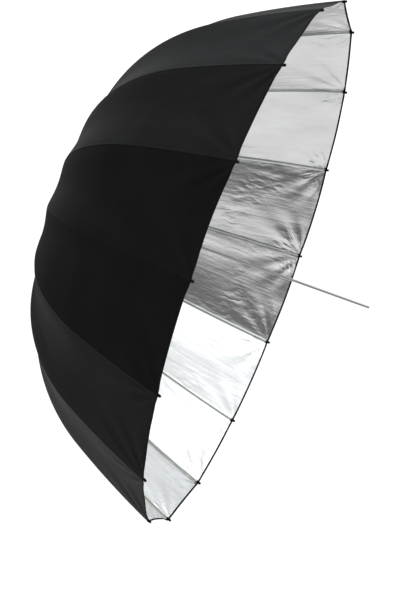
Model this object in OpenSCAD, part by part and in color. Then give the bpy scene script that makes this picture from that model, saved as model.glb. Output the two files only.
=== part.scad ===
// Deep umbrella reflector: sixteen fibreglass ribs and stretchers round a steel shaft,
// under a canopy of sixteen gores. +X runs along the shaft, from the crown to the free end.
// Each rib is drawn in the X-Z plane, at the top, and turned about the shaft to its place.

/* [Ribs] */
// Number of ribs
rib_count = 16; // [8:2:16]
// Diameter of a rib's rod
rib_d = 4; // [3:0.5:4]
// Radius of the flat curve next to the crown
crown_curve_r = 1715; // [1600:5:1800]
// Radius of the shoulder, where the rib turns towards the rim
shoulder_curve_r = 580; // [550:5:620]
// Radius of the long curve down to the rim
rim_curve_r = 2800; // [2600:10:3000]
// Slope of the rib at the crown, from the shaft's axis, in degrees
crown_slope = 85.7; // [85:0.1:87]
// Slope of the rib where the shoulder starts, in degrees
shoulder_slope = 74.3; // [73:0.1:76]
// Slope of the rib where the shoulder ends, in degrees
skirt_slope = 28.6; // [27:0.1:30]
// Slope of the rib at the rim, in degrees
rim_slope = 22; // [20:0.1:24]

/* [Shaft] */
// Outside diameter of the shaft, which fits an umbrella bracket's socket
shaft_d = 8; // [7:0.5:8]
// Wall thickness of the shaft
shaft_wall = 0.8; // [0.6:0.1:1]
// Distance from the rim's plane to the clamping point
rim_to_clamp = 245; // [200:5:300]
// Length of shaft past the clamping point
shaft_tail = 108; // [60:2:150]

/* [Stretchers] */
// Thickness of a stretcher's flat bar
bar_t = 2; // [1.6:0.1:2]
// Depth of a stretcher's flat bar
bar_w = 4.4; // [4:0.2:4.4]
// Radius of the circle on which ribs and stretchers pivot round the shaft
hinge_r = 12; // [12:0.5:14]
// Angle of the folded stretchers from the shaft, in degrees
folded_angle = 4; // [4:0.5:6]

/* [Canopy] */
// Thickness of the canopy's cloth with its seams
cloth_t = 0.8; // [0.6:0.1:1.2]
// Width of the binding tape at the rim
tape_w = 8; // [6:1:10]

/* [Hidden] */
$fn = 48;
eps = 0.01;
pi = 3.14159265;
pitch = 360 / rib_count;
rib_r = rib_d / 2;
shaft_r = shaft_d / 2;
gap = 0.3;         // clearance between pieces that turn past each other
fit = 0.05;        // radial clearance of a push fit
run_fit = 0.06;    // radial clearance of the runner on the shaft

// A point of an arc is [along the shaft, away from the shaft]; its angle is the slope there.
function arc_point(centre, r, slope) = [centre[0] - r * sin(slope), centre[1] + r * cos(slope)];
function arc_step(length, r) = length / r * 180 / pi;
function next_centre(centre, r, new_r, slope) = arc_point(centre, r - new_r, slope);

crown_centre_0 = [crown_curve_r * sin(crown_slope), -crown_curve_r * cos(crown_slope)];
shoulder_centre_0 = next_centre(crown_centre_0, crown_curve_r, shoulder_curve_r, shoulder_slope);
rim_centre_0 = next_centre(shoulder_centre_0, shoulder_curve_r, rim_curve_r, skirt_slope);
rim_0 = arc_point(rim_centre_0, rim_curve_r, rim_slope);

apex_x = -rim_to_clamp - rim_0[0];
crown_centre = crown_centre_0 + [apex_x, 0];
shoulder_centre = shoulder_centre_0 + [apex_x, 0];
rim_centre = rim_centre_0 + [apex_x, 0];

// Rib fittings
eye_t = 2;
eye_r = 1.8;
eye_len = 16;
rod_start = 12;
wire_r = 0.5;
clip_back = 7;       // from the clip's pivot to the rib's split
clip_drop = 6;       // from the rod's axis to the clip's pivot
clip_r = 2.8;
clip_len = 13.5;
ear_t = 0.8;
ear_r = 2.3;
ear_root = 1.8;
pin_r = 1;
pin_len = 5.2;
split_gap = 0.5;
rod_seam = 0.02;     // hairline between the lengths of the outer rod
cap_r = 3.1;
cap_tip_r = 2;
cap_len = 9;

mid_slope = (shoulder_slope + skirt_slope) / 2;
hinge_slope = acos(cos(crown_slope) + hinge_r / crown_curve_r);
hinge = arc_point(crown_centre, crown_curve_r, hinge_slope);
rod_slope = hinge_slope - arc_step(rod_start, crown_curve_r);
clip_slope = shoulder_slope + arc_step(clip_back, crown_curve_r);
clip_pivot = arc_point(crown_centre, crown_curve_r - clip_drop, clip_slope);
rod_end_slope = rim_slope + arc_step(cap_r, rim_curve_r);

// Stretchers: as long as the rib from its hinge to the clip, so the open pair makes equal angles
bar_run = clip_pivot[0] - hinge[0];
bar_rise = clip_pivot[1] - hinge[1];
bar_len = norm([bar_run, bar_rise]);
bar_angle = atan2(bar_rise, bar_run);
runner_x = hinge[0] + 2 * bar_run;
runner_travel = 2 * bar_len * (cos(folded_angle) - cos(bar_angle));

// Crown and runner
notch_r = 15;
notch_slot = eye_t + 2 * gap;
crown_back = 2.4;
crown_front = 5.4;
crown_hub_r = 8.7;
wire_groove = 1.3;
runner_hub_r = 9.4;
runner_half = 4;
sleeve_r = 8.5;
sleeve_end = 40;
grip_grooves = 4;
grip_groove = 2;
grip_pitch = 6;
grip_depth = 0.5;

// Catch
catch_x = runner_x + sleeve_end + 1;
catch_t = 2.4;
catch_h = 6;
catch_flat = 3;
catch_ramp = 17;
catch_len = 20;
catch_low = 2.4;
catch_base = -0.2;
window_w = catch_t + 2 * gap;
key_w = catch_t + 4 * gap;
key_h = catch_h + 2 * gap;

// Shaft ends
shaft_head = 16;     // shaft inside the ferrule, beyond the apex
stop_gap = 9;
stop_r = 1;
stop_centre = shaft_r - 0.4;
stop_x = runner_x + runner_travel + sleeve_end + stop_gap;
plug_len = 12;

// Canopy
cloth_off = 3.5;     // from the rib's axis to the inside of the cloth
seam_gap = 0.3;
band_seam = 0.05;
crown_steps = 3;
shoulder_steps = 4;
rim_steps = 3;
apex_hole_r = 5.5;
cloth_end = 14;      // from the rim's plane back to the cloth's edge, along the rib
washer_r = 20;
washer_t = 1.1;
washer_off = 5.1;
ferrule_r = 8;
ferrule_len = 8;
ferrule_nose = 8;
ferrule_nose_r = 4.6;

function two(k) = str(k < 10 ? "0" : "", k);
function numbered(name) = [for (k = [1:rib_count]) str(name, "_", two(k))];
inner_names = numbered("rib_inner");
outer_names = numbered("rib_outer");
stretcher_names = numbered("stretcher");

// Turns a piece drawn at the top to rib k
module at_rib(k) {
    rotate([-(k - 1) * pitch, 0, 0]) children();
}

// Puts a piece at a point of a rib, with its own +X along the rib and +Z out of the bowl
module along_rib(point, slope) {
    translate([point[0], 0, point[1]]) rotate([0, -slope, 0]) children();
}

// Turns a piece drawn up the Z axis to lie along the shaft
module along_shaft(x) {
    translate([x, 0, 0]) rotate([0, 90, 0]) children();
}

// Extrudes a side view, drawn in X-Z, to a plate across the X-Z plane
module plate(thickness) {
    rotate([90, 0, 0]) linear_extrude(thickness, center = true) children();
}

module rib_arc(centre, r, from_slope, to_slope) {
    translate([centre[0], 0, centre[1]])
        rotate([90, 0, 0])
        rotate([0, 0, 90 + to_slope])
        rotate_extrude(angle = from_slope - to_slope)
        translate([r, 0]) circle(rib_r);
}

// Flattened inner end of a rib, pierced for the crown's wire
module rib_eye() {
    along_rib(hinge, hinge_slope) plate(eye_t) difference() {
        union() {
            circle(eye_r);
            translate([0, -eye_r]) square([eye_len, 2 * eye_r]);
        }
        circle(wire_r + gap);
    }
}

// Sleeve crimped on the rod, with two ears and the pin that carries the stretcher
module rib_clip() {
    along_rib(arc_point(crown_centre, crown_curve_r, clip_slope), clip_slope) {
        difference() {
            translate([-clip_back, 0, 0]) rotate([0, 90, 0]) cylinder(r = clip_r, h = clip_len);
            translate([-clip_back - eps, 0, 0])
                rotate([0, 90, 0]) cylinder(r = rib_r + fit, h = clip_len + 2 * eps);
        }
        for (side = [-1, 1])
            translate([0, side * (bar_t / 2 + gap + ear_t / 2), 0]) plate(ear_t) {
                translate([0, -clip_drop]) circle(ear_r);
                translate([-ear_r, -clip_drop]) square([2 * ear_r, clip_drop - ear_root]);
            }
        translate([0, 0, -clip_drop]) rotate([90, 0, 0])
            cylinder(r = pin_r, h = pin_len, center = true);
    }
}

module rib_inner(k) {
    color("gainsboro") at_rib(k) {
        rib_arc(crown_centre, crown_curve_r, rod_slope, shoulder_slope);
        rib_eye();
    }
    color("silver") at_rib(k) rib_clip();
}

// Moulded cap on the rib's tip, which holds the canopy's corner
module tip_cap() {
    along_rib(arc_point(rim_centre, rim_curve_r, rod_end_slope), rod_end_slope)
        rotate([0, 90, 0]) difference() {
            union() {
                translate([0, 0, -cap_len]) cylinder(r = cap_r, h = cap_len);
                cylinder(r1 = cap_r, r2 = cap_tip_r, h = cap_r);
            }
            translate([0, 0, -cap_len - eps]) cylinder(r = rib_r + fit, h = cap_len + gap);
        }
}

module rib_outer(k) {
    color("gainsboro") at_rib(k) {
        rib_arc(shoulder_centre, shoulder_curve_r,
            shoulder_slope - arc_step(split_gap, shoulder_curve_r), mid_slope);
        rib_arc(shoulder_centre, shoulder_curve_r,
            mid_slope - arc_step(rod_seam, shoulder_curve_r), skirt_slope);
        rib_arc(rim_centre, rim_curve_r,
            skirt_slope - arc_step(rod_seam, rim_curve_r), rod_end_slope);
    }
    color("black") at_rib(k) tip_cap();
}

module stretcher(k) {
    color("silver") at_rib(k)
        translate([clip_pivot[0], 0, clip_pivot[1]]) rotate([0, bar_angle, 0])
        plate(bar_t) difference() {
            union() {
                circle(bar_w / 2);
                translate([0, -bar_w / 2]) square([bar_len, bar_w]);
                translate([bar_len, 0]) circle(bar_w / 2);
            }
            circle(pin_r + gap);
        }
}

// Radial slots for the rib eyes or the stretcher ends
module notch_slots(hub_r, height) {
    for (k = [1:rib_count])
        rotate([0, 0, (k - 1) * pitch])
            translate([hub_r, -notch_slot / 2, 0]) cube([notch_r, notch_slot, height]);
}

module crown() {
    crown_h = crown_back + crown_front;
    color("dimgray") along_shaft(hinge[0] - crown_back) difference() {
        cylinder(r = notch_r, h = crown_h);
        translate([0, 0, -eps]) cylinder(r = shaft_r + fit, h = crown_h + 2 * eps);
        translate([0, 0, -eps]) notch_slots(crown_hub_r, crown_h + 2 * eps);
        translate([0, 0, crown_back - wire_groove / 2]) rotate_extrude()
            translate([hinge_r - wire_groove / 2, 0]) square([notch_r, wire_groove]);
    }
}

module crown_wire() {
    color("silver") along_shaft(hinge[0]) rotate_extrude()
        translate([hinge_r, 0]) circle(wire_r);
}

module ferrule() {
    color("black") along_shaft(apex_x - washer_off - washer_t - ferrule_len - ferrule_nose)
        difference() {
            union() {
                cylinder(r1 = ferrule_nose_r, r2 = ferrule_r, h = ferrule_nose);
                translate([0, 0, ferrule_nose]) cylinder(r = ferrule_r, h = ferrule_len);
            }
            translate([0, 0, washer_off + washer_t + ferrule_len + ferrule_nose - shaft_head - gap])
                cylinder(r = shaft_r + fit, h = shaft_head);
        }
}

module canopy_washer() {
    color("black") along_shaft(apex_x - washer_off - washer_t) difference() {
        cylinder(r = washer_r, h = washer_t - fit);
        translate([0, 0, -eps]) cylinder(r = shaft_r + fit, h = washer_t + 2 * eps);
    }
}

// Steel tube with the catch's window at the top and the swaged bead that stops the runner
module shaft() {
    head_x = apex_x - shaft_head;
    length = shaft_tail - head_x;
    color("silver") difference() {
        union() {
            along_shaft(head_x) cylinder(r = shaft_r, h = length);
            along_shaft(stop_x) rotate_extrude() translate([stop_centre, 0]) circle(stop_r);
        }
        along_shaft(head_x - eps) cylinder(r = shaft_r - shaft_wall, h = length + 2 * eps);
        translate([catch_x - gap, -window_w / 2, 0])
            cube([catch_len + 2 * gap, window_w, shaft_r + eps]);
    }
}

module shaft_end_cap() {
    color("silver") along_shaft(shaft_tail) {
        intersection() {
            sphere(shaft_r);
            cylinder(r = shaft_r, h = shaft_r);
        }
        translate([0, 0, -plug_len]) cylinder(r = shaft_r - shaft_wall - fit, h = plug_len + eps);
    }
}

module runner() {
    color("dimgray") difference() {
        union() {
            along_shaft(runner_x - runner_half) difference() {
                cylinder(r = notch_r, h = 2 * runner_half);
                translate([0, 0, -eps]) notch_slots(runner_hub_r, 2 * runner_half + 2 * eps);
            }
            along_shaft(runner_x) cylinder(r = sleeve_r, h = sleeve_end);
        }
        along_shaft(runner_x - runner_half - eps)
            cylinder(r = shaft_r + run_fit, h = runner_half + sleeve_end + 2 * eps);
        translate([runner_x - runner_half - eps, -key_w / 2, 0])
            cube([runner_half + sleeve_end + 2 * eps, key_w, key_h]);
        for (i = [1:grip_grooves])
            along_shaft(runner_x + sleeve_end - i * grip_pitch) rotate_extrude()
                translate([sleeve_r - grip_depth, 0]) square([sleeve_r, grip_groove]);
    }
}

// Catch that stops the open runner: upright face to the runner, ramp towards the free end
module open_catch() {
    color("silver") translate([catch_x, 0, 0]) plate(catch_t)
        polygon([
            [0, catch_base],
            [0, catch_h],
            [catch_flat, catch_h],
            [catch_ramp, catch_low],
            [catch_len, catch_low],
            [catch_len, catch_base]
        ]);
}

// Side view of one band of cloth along the middle of a gore, between two slopes of one curve
function slopes(from, to, steps) = [for (i = [0:steps]) from + (to - from) * i / steps];
function flatten_gore(p) = [p[0], p[1] * cos(pitch / 2)];
function band_line(centre, r, from, to, steps) = [
    for (s = slopes(from, to, steps)) flatten_gore(arc_point(centre, r, s))
];
function reversed(list) = [for (i = [len(list) - 1:-1:0]) list[i]];
function band(centre, r, from, to, steps, thickness) = let (end = to + arc_step(band_seam, r)) concat(
    band_line(centre, r + cloth_off, from, end, steps),
    reversed(band_line(centre, r + cloth_off + thickness, from, end, steps)));

// The sector of the bowl that one gore fills
module gore_sector() {
    reach = 1000;
    lift = seam_gap / 2 / sin(pitch / 2);
    half = reach * tan(pitch / 2);
    translate([apex_x - reach / 2, 0, lift]) rotate([90, 0, 90])
        linear_extrude(2 * reach) polygon([[0, 0], [half, reach], [-half, reach]]);
}

module gores(side_view) {
    half_chord = 2 * rim_0[1] * tan(pitch / 2);
    for (k = [1:rib_count])
        rotate([-(k - 0.5) * pitch, 0, 0]) intersection() {
            plate(half_chord) polygon(side_view);
            gore_sector();
        }
}

// Each gore in four bands: one at the crown, two over the shoulder, one down to the rim
module canopy() {
    start_slope = crown_slope - arc_step(apex_hole_r, crown_curve_r);
    end_slope = rim_slope + arc_step(cloth_end, rim_curve_r);
    color("dimgray") {
        gores(band(crown_centre, crown_curve_r, start_slope, shoulder_slope, crown_steps, cloth_t));
        gores(band(shoulder_centre, shoulder_curve_r, shoulder_slope, mid_slope, shoulder_steps, cloth_t));
        gores(band(shoulder_centre, shoulder_curve_r, mid_slope, skirt_slope, shoulder_steps, cloth_t));
        gores(band(rim_centre, rim_curve_r, skirt_slope, end_slope, rim_steps, cloth_t));
    }
}

module rim_tape() {
    start = rim_slope + arc_step(cloth_end - band_seam, rim_curve_r);
    end = rim_slope + arc_step(cloth_end - tape_w, rim_curve_r);
    color("black") gores(band(rim_centre, rim_curve_r, start, end, 1, 2 * cloth_t));
}

shaft();
shaft_end_cap();
ferrule();
canopy_washer();
crown();
crown_wire();
runner();
open_catch();
canopy();
rim_tape();
for (k = [1:rib_count]) {
    rib_inner(k);
    rib_outer(k);
    stretcher(k);
}
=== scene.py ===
"""Looks of the umbrella reflector: black and silver cloth on sixteen ribs, metal shaft, white studio."""

import math

import bpy
from mathutils import Matrix, Vector, noise


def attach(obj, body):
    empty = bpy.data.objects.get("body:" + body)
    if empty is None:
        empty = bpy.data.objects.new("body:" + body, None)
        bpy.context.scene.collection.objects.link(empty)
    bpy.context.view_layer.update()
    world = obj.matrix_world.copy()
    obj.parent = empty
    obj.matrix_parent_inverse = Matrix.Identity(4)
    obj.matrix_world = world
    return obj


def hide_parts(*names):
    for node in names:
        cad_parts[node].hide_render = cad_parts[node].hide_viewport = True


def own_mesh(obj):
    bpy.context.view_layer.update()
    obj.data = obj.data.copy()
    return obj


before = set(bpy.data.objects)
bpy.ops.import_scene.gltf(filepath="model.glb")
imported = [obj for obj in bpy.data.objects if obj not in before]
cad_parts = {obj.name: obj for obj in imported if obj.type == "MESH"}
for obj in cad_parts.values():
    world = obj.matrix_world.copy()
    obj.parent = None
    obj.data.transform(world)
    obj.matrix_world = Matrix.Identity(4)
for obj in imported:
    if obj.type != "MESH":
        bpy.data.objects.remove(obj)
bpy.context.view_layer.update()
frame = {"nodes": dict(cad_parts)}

# ---------------------------------------------------------------- sizes, in metres and radians
RIBS = 16
PITCH = 2 * math.pi / RIBS
RIM_X = -0.245                     # the rim's plane
CURVES = (                         # (radius, slope at its start, slope at its end) from the crown
    (1.715, math.radians(85.7), math.radians(74.3)),
    (0.580, math.radians(74.3), math.radians(28.6)),
    (2.800, math.radians(28.6), math.radians(22.0)),
)
LENGTH = sum(r * (a - b) for r, a, b in CURVES)
SPLIT = CURVES[0][0] * (CURVES[0][1] - CURVES[0][2])     # where the stretcher's clip is
CLOTH_START = 0.0045               # the hole for the ferrule
CLOTH_END = LENGTH - 0.007
CLOTH_OFF = 0.0042                 # cloth outside the rib's axis
CLOTH_HALF = 0.0003


def profile_point(s):
    """(x from the apex, radius, slope) at distance s along a rib's axis."""
    x, r = 0.0, 0.0
    for radius, a, b in CURVES:
        step = min(s, radius * (a - b))
        end = a - step / radius
        x += radius * (math.sin(a) - math.sin(end))
        r += radius * (math.cos(end) - math.cos(a))
        s -= step
        if s <= 1e-9:
            break
    else:                          # past the rim the rod runs on straight
        x += s * math.cos(end)
        r += s * math.sin(end)
    return x, r, end


APEX_X = RIM_X - profile_point(LENGTH)[0]


def curve_point(s, off=0.0):
    """(x, radius, slope) at distance s along a rib, off metres outside its axis."""
    x, r, slope = profile_point(s)
    return APEX_X + x - off * math.sin(slope), r + off * math.cos(slope), slope


def half_gore(radius):
    """Half the straight distance between two neighbouring ribs at a radius."""
    return radius * math.sin(PITCH / 2)


def rib_angle(k):
    return (k - 1) * PITCH


def radial(angle):
    return Vector((0.0, math.sin(angle), math.cos(angle)))


def tangential(angle):
    return Vector((0.0, math.cos(angle), -math.sin(angle)))


# ---------------------------------------------------------------- materials
def new_material(name):
    mat = bpy.data.materials.new(name)
    mat.use_nodes = True
    nodes, links = mat.node_tree.nodes, mat.node_tree.links
    shader = next(n for n in nodes if n.type == "BSDF_PRINCIPLED")
    return mat, nodes, links, shader


def set_inputs(node, **values):
    for name, value in values.items():
        node.inputs[name.replace("_", " ")].default_value = value


def add_noise(nodes, links, coords, scale, detail=4.0, stretch=(1, 1, 1)):
    """Noise on coordinates stretched by stretch."""
    mapping = nodes.new("ShaderNodeMapping")
    mapping.inputs["Scale"].default_value = stretch
    links.new(coords, mapping.inputs["Vector"])
    tex = nodes.new("ShaderNodeTexNoise")
    set_inputs(tex, Scale=scale, Detail=detail)
    links.new(mapping.outputs["Vector"], tex.inputs["Vector"])
    return tex.outputs["Fac"]


def add_ramp(nodes, links, fac, stops):
    ramp = nodes.new("ShaderNodeValToRGB")
    links.new(fac, ramp.inputs["Fac"])
    elements = ramp.color_ramp.elements
    while len(elements) < len(stops):
        elements.new(0.5)
    for element, (position, colour) in zip(elements, stops):
        element.position = position
        element.color = (*colour, 1.0)
    return ramp.outputs["Color"]


def add_bump(nodes, links, shader, height, distance, strength=1.0, under=None):
    bump = nodes.new("ShaderNodeBump")
    set_inputs(bump, Distance=distance, Strength=strength)
    links.new(height, bump.inputs["Height"])
    if under is not None:
        links.new(under, bump.inputs["Normal"])
    links.new(bump.outputs["Normal"], shader.inputs["Normal"])
    return bump.outputs["Normal"]


def flat_coords(nodes, name):
    """Metres on the flat cloth: y along the rib, and x from the rib or, in map "gore", from the middle."""
    uv = nodes.new("ShaderNodeUVMap")
    uv.uv_map = name
    return uv.outputs["UV"]


def object_coords(nodes):
    return nodes.new("ShaderNodeTexCoord").outputs["Object"]


def map_range(nodes, links, value, smooth=True, **limits):
    node = nodes.new("ShaderNodeMapRange")
    if smooth:
        node.interpolation_type = "SMOOTHSTEP"
    set_inputs(node, **limits)
    links.new(value, node.inputs["Value"])
    return node.outputs["Result"]


def mix_colours(nodes, links, share, first, second):
    """first where share is 0 and second where it is 1; each is a socket or a plain colour."""
    node = nodes.new("ShaderNodeMix")
    node.data_type = "RGBA"
    for name, value in (("Factor", share), ("A", first), ("B", second)):
        if isinstance(value, tuple):
            node.inputs[name].default_value = (*value, 1.0)
        else:
            links.new(value, node.inputs[name])
    return node.outputs["Result"]


def distance_of(nodes, links, x, y):
    """Length of the flat vector (x, y)."""
    flat = nodes.new("ShaderNodeCombineXYZ")
    links.new(x, flat.inputs["X"])
    links.new(y, flat.inputs["Y"])
    size = nodes.new("ShaderNodeVectorMath")
    size.operation = "LENGTH"
    links.new(flat.outputs["Vector"], size.inputs[0])
    return size.outputs["Value"]


def math_node(nodes, links, operation, a, b=None):
    node = nodes.new("ShaderNodeMath")
    node.operation = operation
    for socket, value in zip(node.inputs, (a, b)):
        if value is None:
            continue
        if isinstance(value, (int, float)):
            socket.default_value = value
        else:
            links.new(value, socket)
    return node.outputs[0]


WAVES_PER_UNIT = 0.314              # a wave texture at this scale has one band to a unit
BLACK_TONES = ((0.3, (0.0098, 0.0098, 0.0103)), (0.75, (0.0138, 0.0138, 0.0144)))
SILVER_TONES = ((0.3, (0.68, 0.68, 0.68)), (0.7, (0.80, 0.80, 0.80)))
TAPE_TONES = ((0.3, (0.006, 0.006, 0.0065)), (0.7, (0.012, 0.012, 0.0125)))
ROD_TONES = ((0.3, (0.56, 0.60, 0.53)), (0.7, (0.68, 0.72, 0.65)))
SILVER_SEAM = (0.50, 0.53, 0.49)
CLOTH_WEAVE, TAPE_WEAVE = 0.0011, 0.0014     # distance between threads
BLACK_SEAM_HALF, SILVER_SEAM_HALF = 0.006, 0.007
FOLD_REACH = 0.155                 # tip folds have faded out this far from the tip
ALONG_GORE = (1.0, 0.45, 1.0)      # noise drawn out along the gore
STREAKS = (1.0, 0.07, 1.0)


def weave_height(nodes, links, coords, pitch):
    """Plain weave: two sets of threads at right angles."""
    heights = []
    for direction in ("X", "Y"):
        wave = nodes.new("ShaderNodeTexWave")
        wave.bands_direction = direction
        set_inputs(wave, Scale=WAVES_PER_UNIT / pitch, Distortion=0.0)
        links.new(coords, wave.inputs["Vector"])
        heights.append(wave.outputs["Fac"])
    return math_node(nodes, links, "ADD", *heights)


def seam_height(nodes, links, coords, half_width):
    """1 on the seam over the rib, falling to 0 at half_width from it."""
    split = nodes.new("ShaderNodeSeparateXYZ")
    links.new(coords, split.inputs["Vector"])
    away = math_node(nodes, links, "ABSOLUTE", split.outputs["X"])
    return map_range(nodes, links, away, From_Min=0.0, From_Max=half_width, To_Min=1.0, To_Max=0.0)


def tip_folds(nodes, links, coords, gore):
    """Uneven folds that fan out of a rib's tip and fade with distance from it, stronger at some tips."""
    split = nodes.new("ShaderNodeSeparateXYZ")
    links.new(coords, split.inputs["Vector"])
    away = math_node(nodes, links, "ABSOLUTE", split.outputs["X"])
    back = math_node(nodes, links, "SUBTRACT", LENGTH, split.outputs["Y"])
    reach = distance_of(nodes, links, away, back)
    polar = nodes.new("ShaderNodeCombineXYZ")
    links.new(math_node(nodes, links, "ARCTAN2", away, back), polar.inputs["X"])
    links.new(math_node(nodes, links, "MULTIPLY", reach, 3.0), polar.inputs["Y"])
    links.new(split.outputs["X"], polar.inputs["Z"])
    folds = add_noise(nodes, links, polar.outputs["Vector"], 3.6, 2.2)
    fade = map_range(nodes, links, reach, From_Min=0.0, From_Max=FOLD_REACH, To_Min=1.0, To_Max=0.0)
    grow = math_node(nodes, links, "MULTIPLY", fade, reach)
    share = map_range(nodes, links, add_noise(nodes, links, gore, 6.3, 0.0), smooth=False,
                      From_Min=0.38, From_Max=0.62, To_Min=0.15, To_Max=1.0)
    return math_node(nodes, links, "MULTIPLY", folds, math_node(nodes, links, "MULTIPLY", grow, share))


def crumpled_patches(nodes, links, gore):
    """Sharp creases in some patches of the cloth, none in the others."""
    where = map_range(nodes, links, add_noise(nodes, links, gore, 5.0, 1.0), From_Min=0.50, From_Max=0.68)
    middle = math_node(nodes, links, "SUBTRACT", add_noise(nodes, links, gore, 22.0, 2.0, ALONG_GORE), 0.5)
    creases = math_node(nodes, links, "ABSOLUTE", middle)
    return math_node(nodes, links, "MULTIPLY", creases, where)


def black_cloth():
    mat, nodes, links, shader = new_material("black_nylon")
    coords, gore = flat_coords(nodes, "cloth"), flat_coords(nodes, "gore")
    tone = add_noise(nodes, links, gore, 9.0, 3.0)
    links.new(add_ramp(nodes, links, tone, BLACK_TONES), shader.inputs["Base Color"])
    set_inputs(shader, Roughness=0.58, Specular_IOR_Level=0.045, Sheen_Weight=0.012, Sheen_Roughness=0.4)
    pucker = add_noise(nodes, links, gore, 40.0, 2.0, (1.0, 0.35, 1.0))
    soft = add_bump(nodes, links, shader, pucker, 0.0012, 0.5)
    folds = add_bump(nodes, links, shader, tip_folds(nodes, links, coords, gore), 0.05, 0.35, soft)
    seam = seam_height(nodes, links, coords, BLACK_SEAM_HALF)
    raised = add_bump(nodes, links, shader, seam, 0.0012, 1.0, folds)
    add_bump(nodes, links, shader, weave_height(nodes, links, gore, CLOTH_WEAVE), 0.00012, 0.35, raised)
    return mat


def silver_cloth():
    mat, nodes, links, shader = new_material("silver_lining")
    coords, gore = flat_coords(nodes, "cloth"), flat_coords(nodes, "gore")
    tone = add_noise(nodes, links, gore, 14.0, 5.0, (1.0, 0.3, 1.0))
    seam = seam_height(nodes, links, coords, SILVER_SEAM_HALF)
    colour = mix_colours(nodes, links, seam, add_ramp(nodes, links, tone, SILVER_TONES), SILVER_SEAM)
    links.new(colour, shader.inputs["Base Color"])
    set_inputs(shader, Metallic=1.0, Roughness=0.27)
    streaks = add_noise(nodes, links, gore, 30.0, 6.0, STREAKS)
    streaked = add_bump(nodes, links, shader, streaks, 0.008, 0.27)
    crumpled = add_bump(nodes, links, shader, crumpled_patches(nodes, links, gore), 0.018, 0.35, streaked)
    crinkle = add_noise(nodes, links, gore, 95.0, 4.0, ALONG_GORE)
    crinkled = add_bump(nodes, links, shader, crinkle, 0.0016, 0.3, crumpled)
    folds = add_bump(nodes, links, shader, tip_folds(nodes, links, coords, gore), 0.20, 1.0, crinkled)
    raised = add_bump(nodes, links, shader, seam, 0.0010, 1.0, folds)
    add_bump(nodes, links, shader, weave_height(nodes, links, gore, CLOTH_WEAVE), 0.0001, 0.25, raised)
    return mat


def binding_tape():
    mat, nodes, links, shader = new_material("binding_tape")
    coords = flat_coords(nodes, "cloth")
    tone = add_noise(nodes, links, coords, 300.0, 2.0)
    links.new(add_ramp(nodes, links, tone, TAPE_TONES), shader.inputs["Base Color"])
    set_inputs(shader, Roughness=0.75, Specular_IOR_Level=0.08)
    add_bump(nodes, links, shader, weave_height(nodes, links, coords, TAPE_WEAVE), 0.0003, 0.6)
    return mat


METAL_WEAR = 0.06                  # how much rougher the metal is where it is marked
METAL_SHADE = 0.86                 # its darker tone, as a share of the lighter


def metal(name, colour, roughness):
    """Drawn metal with fine marks along the shaft."""
    mat, nodes, links, shader = new_material(name)
    marks = add_noise(nodes, links, object_coords(nodes), 900.0, 3.0, (0.04, 1, 1))
    dark = tuple(c * METAL_SHADE for c in colour)
    links.new(add_ramp(nodes, links, marks, ((0.35, dark), (0.65, colour))), shader.inputs["Base Color"])
    spread = map_range(nodes, links, marks, smooth=False, To_Min=roughness, To_Max=roughness + METAL_WEAR)
    links.new(spread, shader.inputs["Roughness"])
    set_inputs(shader, Metallic=1.0)
    add_bump(nodes, links, shader, marks, 0.00004, 0.4)
    return mat


def plastic(name, colour, roughness):
    """Moulded plastic with a fine grain."""
    mat, nodes, links, shader = new_material(name)
    grain = add_noise(nodes, links, object_coords(nodes), 1400.0, 2.0)
    lighter = tuple(min(1.0, c * 1.5) for c in colour)
    links.new(add_ramp(nodes, links, grain, ((0.3, colour), (0.7, lighter))), shader.inputs["Base Color"])
    set_inputs(shader, Roughness=roughness, Specular_IOR_Level=0.45)
    add_bump(nodes, links, shader, grain, 0.00012, 0.5)
    return mat


def rod_material(name, fitting_from, fitting_to, along_shaft, fitting_colour, fitting_metal):
    """Pale fibreglass rod that turns to its fitting's finish between two places.

    A place is a distance along the shaft, or else a distance from it.
    """
    mat, nodes, links, shader = new_material(name)
    coords = object_coords(nodes)
    split = nodes.new("ShaderNodeSeparateXYZ")
    links.new(coords, split.inputs["Vector"])
    if along_shaft:
        place = split.outputs["X"]
    else:
        place = distance_of(nodes, links, split.outputs["Y"], split.outputs["Z"])
    after = math_node(nodes, links, "GREATER_THAN", place, fitting_from)
    before = math_node(nodes, links, "LESS_THAN", place, fitting_to)
    on_fitting = math_node(nodes, links, "MULTIPLY", after, before)
    fibres = add_noise(nodes, links, coords, 1100.0, 3.0, (0.3, 1, 1))
    rod = add_ramp(nodes, links, fibres, ROD_TONES)
    links.new(mix_colours(nodes, links, on_fitting, rod, fitting_colour), shader.inputs["Base Color"])
    if fitting_metal:
        links.new(on_fitting, shader.inputs["Metallic"])
    set_inputs(shader, Roughness=0.34)
    add_bump(nodes, links, shader, fibres, 0.00008, 0.5)
    return mat


# ---------------------------------------------------------------- cloth
SAG_PEAK = 0.009                   # the cloth between ribs pulls in most at the shoulder
SAG_RIM = 0.003
SAG_STARTS = 0.25                  # from the crown to here it grows from nothing
SHOULDER_AT, SHOULDER_SPREAD = 0.62, 0.27
FLAT_BY_RIB = 1.8                  # the higher, the flatter the cloth leaves the rib
FOLD_HEIGHT = 0.0034
FOLD_FADE, FOLD_START = 0.11, 0.025          # distances from the tip
RIPPLE = 0.0011
CREASE_STARTS = 0.12               # share of a gore from the rib to where creases are whole
OUTER_ROWS, INNER_ROWS = 72, 30
COLUMNS = [i / 32 for i in range(-16, 17)]   # shares of a gore to each side of the rib
GORE_STEP = 1.0                    # keeps each gore's cloth pattern apart from the others


def gore_sag(s):
    shoulder = math.exp(-(((s - SHOULDER_AT) / SHOULDER_SPREAD) ** 2))
    return (SAG_RIM + (SAG_PEAK - SAG_RIM) * shoulder) * min(1.0, s / SAG_STARTS)


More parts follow.
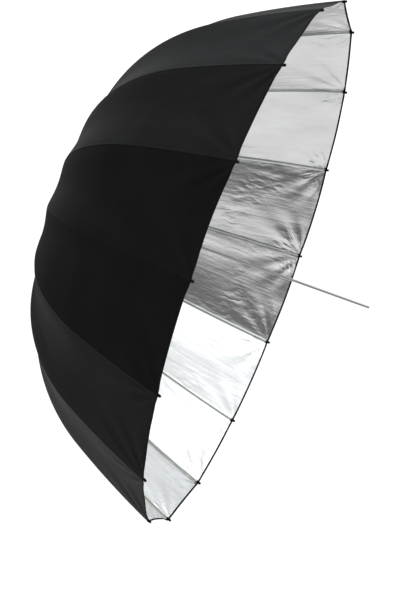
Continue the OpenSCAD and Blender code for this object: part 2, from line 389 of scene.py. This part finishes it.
def rim_dip(gore_angle):
    """How far the rim's edge runs back towards the crown between two tips, most on the -Y side."""
    return 0.003 - 0.008 * math.sin(gore_angle)


def crease(s, across, k):
    """Small folds that fan out of a tip, and slack ripples along the skirt."""
    back = LENGTH - s
    reach = math.hypot(back, across)
    fan = math.atan2(across, max(back, 1e-4))
    fade = math.exp(-reach / FOLD_FADE) * (1 - math.exp(-reach / FOLD_START))
    folds = FOLD_HEIGHT * fade * math.cos(fan * (11 + k % 3) + k * 1.7)
    drift = noise.noise(Vector((across * 9 + k * 5.3, s * 2.6, k * 2.1)))
    return folds + RIPPLE * drift * min(1.0, s / 0.2) * min(1.0, abs(across) / 0.03)


def cloth_point(s_share, outer, k, w):
    """A point of rib k's cloth, its flat place (across, s) and the way into the bowl.

    w runs from -0.5 to 0.5 of a gore to each side of the rib.
    """
    side = 1 if w >= 0 else -1
    angle, next_angle = rib_angle(k), rib_angle(k) + side * PITCH
    gore_angle = angle + side * PITCH / 2
    v = abs(w)
    arch = 4 * v * (1 - v)
    if outer:
        s = SPLIT + s_share * (CLOTH_END - rim_dip(gore_angle) * arch - SPLIT)
    else:
        s = CLOTH_START + s_share * (SPLIT - CLOTH_START)
    x, r, slope = curve_point(s, CLOTH_OFF)
    here = radial(angle).lerp(radial(next_angle), v) * r
    away = v * 2 * r * math.sin(PITCH / 2)
    inward = Vector((math.sin(slope), 0, 0)) - radial(gore_angle) * math.cos(slope)
    gore = k if side > 0 else k - 1
    folds = crease(s, away, gore % RIBS) * min(1.0, (v / CREASE_STARTS) ** 1.5)
    depth = gore_sag(s) * arch ** FLAT_BY_RIB + folds
    return Vector((x, 0, 0)) + here + inward * depth, (side * away, s), inward


def wrapped_point(share, outer, k, w):
    """cloth_point, carried over into the neighbouring strip when it runs past this one's edge."""
    if abs(w) > 0.5:
        side = 1 if w > 0 else -1
        return cloth_point(share, outer, k + side, w - side)
    if share < 0 and outer:
        return cloth_point(1 - 1 / INNER_ROWS, False, k, w)
    if share > 1 and not outer:
        return cloth_point(1 / OUTER_ROWS, True, k, w)
    point, place, inward = cloth_point(max(0.0, share), outer, k, w)
    if share < 0:                  # at the crown's hole there is no neighbour, so run straight on
        point = point - (cloth_point(0.02, outer, k, w)[0] - point)
    return point, place, inward


def surface_normal(grid, i, j):
    rows, cols = len(grid), len(grid[0])
    du = grid[min(i + 1, rows - 1)][j] - grid[max(i - 1, 0)][j]
    dv = grid[i][min(j + 1, cols - 1)] - grid[i][max(j - 1, 0)]
    return du.cross(dv).normalized()


def write_uvs(mesh, uvs, k):
    """Map "cloth" from the rib and map "gore" from the middle of the gore that each face is in."""
    cloth = mesh.uv_layers.new(name="cloth")
    gore = mesh.uv_layers.new(name="gore")
    for face in mesh.polygons:
        middle = sum(uvs[v][0] for v in face.vertices) / len(face.vertices)
        side = 1 if middle >= 0 else -1
        index = k if side > 0 else (k - 2) % RIBS + 1
        for loop in face.loop_indices:
            across, s = uvs[mesh.loops[loop].vertex_index]
            half = half_gore(curve_point(min(max(s, 0.0), LENGTH), CLOTH_OFF)[1])
            cloth.data[loop].uv = (across, s)
            gore.data[loop].uv = (index * GORE_STEP + across - side * half, s)


def add_object(name, verts, faces, materials):
    """A smooth object in the scene."""
    mesh = bpy.data.meshes.new(name)
    mesh.from_pydata(verts, [], faces)
    for material in materials:
        mesh.materials.append(material)
    mesh.polygons.foreach_set("use_smooth", [True] * len(faces))
    obj = bpy.data.objects.new(name, mesh)
    bpy.context.collection.objects.link(obj)
    return obj


def ride_and_fold(obj, body):
    """Carry a piece on rib k's body, with a mesh of its own."""
    x, r, _ = curve_point(SPLIT, CLOTH_OFF)
    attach(obj, body)
    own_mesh(obj)


def build_strip(name, k, outer, materials):
    """Black and silver faces of the cloth on one rib, from gore middle to gore middle."""
    count = OUTER_ROWS if outer else INNER_ROWS
    rows = [i / count for i in range(count + 1)]
    # one extra row and column all round give the edge vertices the same normals as the next strip
    step_r, step_c = rows[1], COLUMNS[1] - COLUMNS[0]
    wide_rows = [-step_r] + rows + [1 + step_r]
    wide_cols = [COLUMNS[0] - step_c] + COLUMNS + [COLUMNS[-1] + step_c]
    grid, places = [], []
    for share in wide_rows:
        data = [wrapped_point(share, outer, k, w) for w in wide_cols]
        grid.append([point for point, _, _ in data])
        places.append([place for _, place, _ in data])
    verts, uvs, normals = [], [], []
    for layer in (1, -1):
        for i in range(1, len(rows) + 1):
            for j in range(1, len(COLUMNS) + 1):
                n = surface_normal(grid, i, j)
                verts.append(grid[i][j] + n * CLOTH_HALF * layer)
                normals.append(n * layer)
                uvs.append(places[i][j])
    cols = len(COLUMNS)
    half = len(rows) * cols
    faces, slots = [], []
    for i in range(len(rows) - 1):
        for j in range(cols - 1):
            a, b, c, d = i * cols + j, i * cols + j + 1, (i + 1) * cols + j + 1, (i + 1) * cols + j
            faces += [(a, d, c, b), (half + a, half + b, half + c, half + d)]
            slots += [0, 1]
    corner = [0, cols - 1, half - 1, half - cols]
    border = (list(range(corner[0], corner[1])) + list(range(corner[1], corner[2], cols))
              + list(range(corner[2], corner[3], -1)) + list(range(corner[3], corner[0], -cols)))
    for a, b in zip(border, border[1:] + border[:1]):
        faces.append((a, b, half + b, half + a))
        slots.append(0)
    obj = add_object(name, verts, faces, materials)
    mesh = obj.data
    mesh.polygons.foreach_set("material_index", slots)
    write_uvs(mesh, uvs, k)
    if mesh.polygons[0].normal.dot(normals[0]) < 0:
        mesh.flip_normals()
    mesh.normals_split_custom_set_from_vertices(normals)
    return obj


def add_strip(k, outer, materials):
    part, body = ("skirt", f"rib_outer_{k:02d}") if outer else ("crown", f"rib_inner_{k:02d}")
    obj = build_strip(f"cloth_{part}_{k:02d}", k, outer, materials)
    ride_and_fold(obj, body)
    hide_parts("canopy")
    width = 2 * half_gore(curve_point(CLOTH_END if outer else SPLIT, CLOTH_OFF)[1])


def add_trim(name, verts, faces, uvs, k, material):
    """A piece of binding on rib k's stretch of the rim."""
    obj = add_object(name, verts, faces, [material])
    write_uvs(obj.data, uvs, k)
    ride_and_fold(obj, f"rib_outer_{k:02d}")
    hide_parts("rim_tape")


BINDING_OUTLINE = (                # (outwards, past the cloth's edge)
    (0.0005, -0.0055), (0.0010, -0.0050), (0.0011, -0.0006), (0.0006, 0.0005),
    (-0.0006, 0.0005), (-0.0011, -0.0006), (-0.0010, -0.0050), (-0.0005, -0.0055),
)
POCKET_LIFT = 0.0006               # the pocket's middle is a little outside the rib's axis
POCKET_SECTIONS = (                # (distance past the rim's plane, half width, half depth)
    (-0.0160, 0.0038, 0.0034), (-0.0158, 0.0044, 0.0040), (-0.0100, 0.0043, 0.0038),
    (-0.0050, 0.0039, 0.0037), (-0.0015, 0.0036, 0.0035), (-0.0009, 0.0032, 0.0031),
    (-0.0010, 0.0030, 0.0028), (-0.0150, 0.0033, 0.0030), (-0.0160, 0.0038, 0.0034),
)
POCKET_AROUND = 20
POCKET_SQUARE = (0.7, 0.8)         # below 1 squares the section's sides


def add_binding(k, material):
    """Tape folded over the cloth's edge at the rim, on one rib's strip."""
    verts, uvs, faces = [], [], []
    for w in COLUMNS:
        edge, (across, s), inward = cloth_point(1.0, True, k, w)
        behind = cloth_point(1 - 1 / OUTER_ROWS, True, k, w)[0]
        along = (edge - behind).normalized()
        for out, forward in BINDING_OUTLINE:
            verts.append(edge + along * forward - inward * out)
            uvs.append((across, s + forward + out))
    n = len(BINDING_OUTLINE)
    for j in range(len(COLUMNS) - 1):
        for i in range(n):
            a, b = j * n + i, j * n + (i + 1) % n
            faces.append((a, a + n, b + n, b))
    add_trim(f"rim_binding_{k:02d}", verts, faces, uvs, k, material)


def add_pocket(k, material):
    """Small pocket sewn on the rim's tape, that the rib's tip cap sits in."""
    x, r, slope = curve_point(LENGTH)
    along = Vector((math.cos(slope), 0, 0)) + radial(rib_angle(k)) * math.sin(slope)
    out = radial(rib_angle(k)) * math.cos(slope) - Vector((math.sin(slope), 0, 0))
    across = tangential(rib_angle(k))
    middle = Vector((x, 0, 0)) + radial(rib_angle(k)) * r
    verts, uvs, faces = [], [], []
    n = POCKET_AROUND
    for distance, width, depth in POCKET_SECTIONS:
        for i in range(n):
            turn = 2 * math.pi * i / n
            side, lift = (math.copysign(abs(value) ** power, value)
                          for value, power in zip((math.cos(turn), math.sin(turn)), POCKET_SQUARE))
            verts.append(middle + along * distance + across * side * width
                         + out * (lift * depth + POCKET_LIFT))
            uvs.append((side * width, LENGTH + distance + lift * depth))
    for row in range(len(POCKET_SECTIONS) - 1):
        for i in range(n):
            a, b = row * n + i, row * n + (i + 1) % n
            faces.append((a, b, b + n, a + n))
    add_trim(f"tip_pocket_{k:02d}", verts, faces, uvs, k, material)


# ---------------------------------------------------------------- scene
PLAIN, WARM, COOL = (1, 1, 1), (1, 0.94, 0.91), (0.94, 0.98, 1)
ROOM_GLOW = 1.3
FRONT_GLOW = (                     # (height of the direction, brightness, tint)
    (-1.0, 0.50, PLAIN), (-0.5, 0.42, PLAIN), (-0.2, 0.03, WARM), (0.02, 0.05, WARM),
    (0.15, 0.13, WARM), (0.32, 0.36, PLAIN), (0.46, 0.80, PLAIN), (0.7, 0.95, COOL), (1.0, 0.92, COOL),
)
BACK_GLOW = (
    (-1.0, 0.55, PLAIN), (-0.1, 0.70, PLAIN), (0.1, 0.80, PLAIN), (0.4, 0.68, COOL), (1.0, 0.92, COOL),
)
FLOOR_REACH, FLOOR_LEVEL = 30.0, -1.75
FLOOR_POOL = (0.5, 1.5, 0.0)       # middle of the painted pool of light that the floor glows into the bowl
POOL_EDGE = (3.0, 5.8)             # it fades out between these distances
NEAR_FLOOR_GLOW = 0.78
SEEN_FLOOR_GLOW = 1.0
FLOOR_GREY = (0.12, 0.12, 0.12, 1)
CAMERA_PLACE = (0.550, -4.717, 0.504)
CAMERA_FORWARD = (-0.191, 0.9722, -0.1354)
CAMERA_UP = (-0.3367, 0.0645, 0.9394)
CAMERA_LENS, CAMERA_SENSOR = 96.1, 36
OVERHEAD = {"place": (0.3, 0.2, 2.6), "target": (0, 0, 0), "size": (2.6, 2.6), "power": 24}


def add_camera():
    """Where the photo was taken from: in front of the bowl's side, a little above, and rolled."""
    camera = bpy.data.objects.new("camera", bpy.data.cameras.new("camera"))
    camera.data.lens = CAMERA_LENS
    camera.data.sensor_width = CAMERA_SENSOR
    forward = Vector(CAMERA_FORWARD).normalized()
    right = forward.cross(Vector(CAMERA_UP)).normalized()
    up = right.cross(forward)
    turn = Matrix((right, up, -forward)).transposed().to_4x4()
    camera.matrix_world = Matrix.Translation(CAMERA_PLACE) @ turn
    bpy.context.collection.objects.link(camera)
    bpy.context.scene.camera = camera


def area_light(name, place, target, size, power):
    data = bpy.data.lights.new(name, "AREA")
    data.shape = "RECTANGLE"
    data.size, data.size_y = size
    data.energy = power
    light = bpy.data.objects.new(name, data)
    light.location = place
    light.rotation_euler = (Vector(target) - Vector(place)).to_track_quat("-Z", "Y").to_euler()
    bpy.context.collection.objects.link(light)


def by_height(nodes, links, height, stops):
    """Brightness for each height of a direction, from -1 below to 1 above."""
    share = map_range(nodes, links, height, smooth=False, From_Min=-1.0, From_Max=1.0)
    return add_ramp(nodes, links, share,
                    [((z + 1) / 2, tuple(glow * c for c in tint)) for z, glow, tint in stops])


def add_world():
    """White behind the object. It reflects a bright ceiling and back wall over a dim horizon in front."""
    world = bpy.data.worlds.new("studio")
    bpy.context.scene.world = world
    world.use_nodes = True
    nodes, links = world.node_tree.nodes, world.node_tree.links
    direction = nodes.new("ShaderNodeSeparateXYZ")
    links.new(nodes.new("ShaderNodeTexCoord").outputs["Generated"], direction.inputs["Vector"])
    front = by_height(nodes, links, direction.outputs["Z"], FRONT_GLOW)
    back = by_height(nodes, links, direction.outputs["Z"], BACK_GLOW)
    behind = map_range(nodes, links, direction.outputs["Y"], From_Min=0.0, From_Max=0.7)
    around = mix_colours(nodes, links, behind, front, back)
    seen = nodes.new("ShaderNodeLightPath").outputs["Is Camera Ray"]
    links.new(mix_colours(nodes, links, seen, around, PLAIN), nodes["Background"].inputs["Color"])
    nodes["Background"].inputs["Strength"].default_value = ROOM_GLOW


def add_floor():
    """Pale floor that glows evenly white to the camera; to the bowl it glows as a painted pool of light
    that fades away from the object.
    """
    mat, nodes, links, shader = new_material("studio_floor")
    away = nodes.new("ShaderNodeVectorMath")
    away.operation = "DISTANCE"
    links.new(object_coords(nodes), away.inputs[0])
    away.inputs[1].default_value = FLOOR_POOL
    # painted light: floor emission seen by the bowl, strongest near the object and gone past POOL_EDGE
    painted_pool_glow = map_range(nodes, links, away.outputs["Value"], From_Min=POOL_EDGE[0], From_Max=POOL_EDGE[1],
                     To_Min=NEAR_FLOOR_GLOW, To_Max=0.0)
    strength = nodes.new("ShaderNodeMix")
    links.new(nodes.new("ShaderNodeLightPath").outputs["Is Camera Ray"], strength.inputs["Factor"])
    links.new(painted_pool_glow, strength.inputs["A"])
    strength.inputs["B"].default_value = SEEN_FLOOR_GLOW
    links.new(strength.outputs["Result"], shader.inputs["Emission Strength"])
    set_inputs(shader, Base_Color=FLOOR_GREY, Roughness=0.9, Specular_IOR_Level=0.0,
               Emission_Color=(1, 1, 1, 1))
    mesh = bpy.data.meshes.new("floor")
    corners = [(x * FLOOR_REACH, y * FLOOR_REACH, 0) for x, y in ((-1, -1), (1, -1), (1, 1), (-1, 1))]
    mesh.from_pydata(corners, [], [(0, 1, 2, 3)])
    mesh.materials.append(mat)
    floor = bpy.data.objects.new("floor", mesh)
    floor.location.z = FLOOR_LEVEL
    bpy.context.collection.objects.link(floor)


def add_studio():
    bpy.context.scene.view_settings.view_transform = "Standard"
    add_world()
    add_floor()
    area_light("overhead", **OVERHEAD)


CLIP_SPAN = (0.0145, 0.0002)       # the steel clip, back from the end of the inner rod
CAP_SPAN = 0.0127                  # the tip cap, back from the rim's plane
STEEL, CAP_BLACK = (0.55, 0.55, 0.56), (0.012, 0.012, 0.013)


def dress_metal_and_plastic():
    nodes = frame["nodes"]
    shaft = metal("polished_tube", (0.44, 0.445, 0.45), 0.26)
    spring = metal("spring_steel", (0.62, 0.62, 0.63), 0.28)
    bar = metal("zinc_plated", (0.66, 0.67, 0.68), 0.30)
    black = plastic("black_moulding", (0.014, 0.014, 0.015), 0.48)
    grey = plastic("runner_moulding", (0.03, 0.03, 0.032), 0.42)
    clip_from, clip_to = (curve_point(SPLIT - back)[1] for back in CLIP_SPAN)
    inner = rod_material("rib_rod_inner", clip_from, clip_to, False, STEEL, True)
    outer = rod_material("rib_rod_outer", RIM_X - CAP_SPAN, 1.0, True, CAP_BLACK, False)
    looks = {
        "shaft": shaft, "shaft_end_cap": shaft, "crown_wire": spring, "open_catch": spring,
        "ferrule": black, "canopy_washer": black, "crown": grey, "runner": grey,
    }
    for k in range(1, RIBS + 1):
        looks[f"rib_inner_{k:02d}"] = inner
        looks[f"rib_outer_{k:02d}"] = outer
        looks[f"stretcher_{k:02d}"] = bar
    for name, material in looks.items():
        for slot in nodes[name].material_slots:
            slot.material = material


add_camera()
add_studio()
dress_metal_and_plastic()
cloth_looks = (black_cloth(), silver_cloth())
tape_look = binding_tape()
for rib in range(1, RIBS + 1):
    add_strip(rib, False, cloth_looks)
    add_strip(rib, True, cloth_looks)
    add_binding(rib, tape_look)
    add_pocket(rib, tape_look)
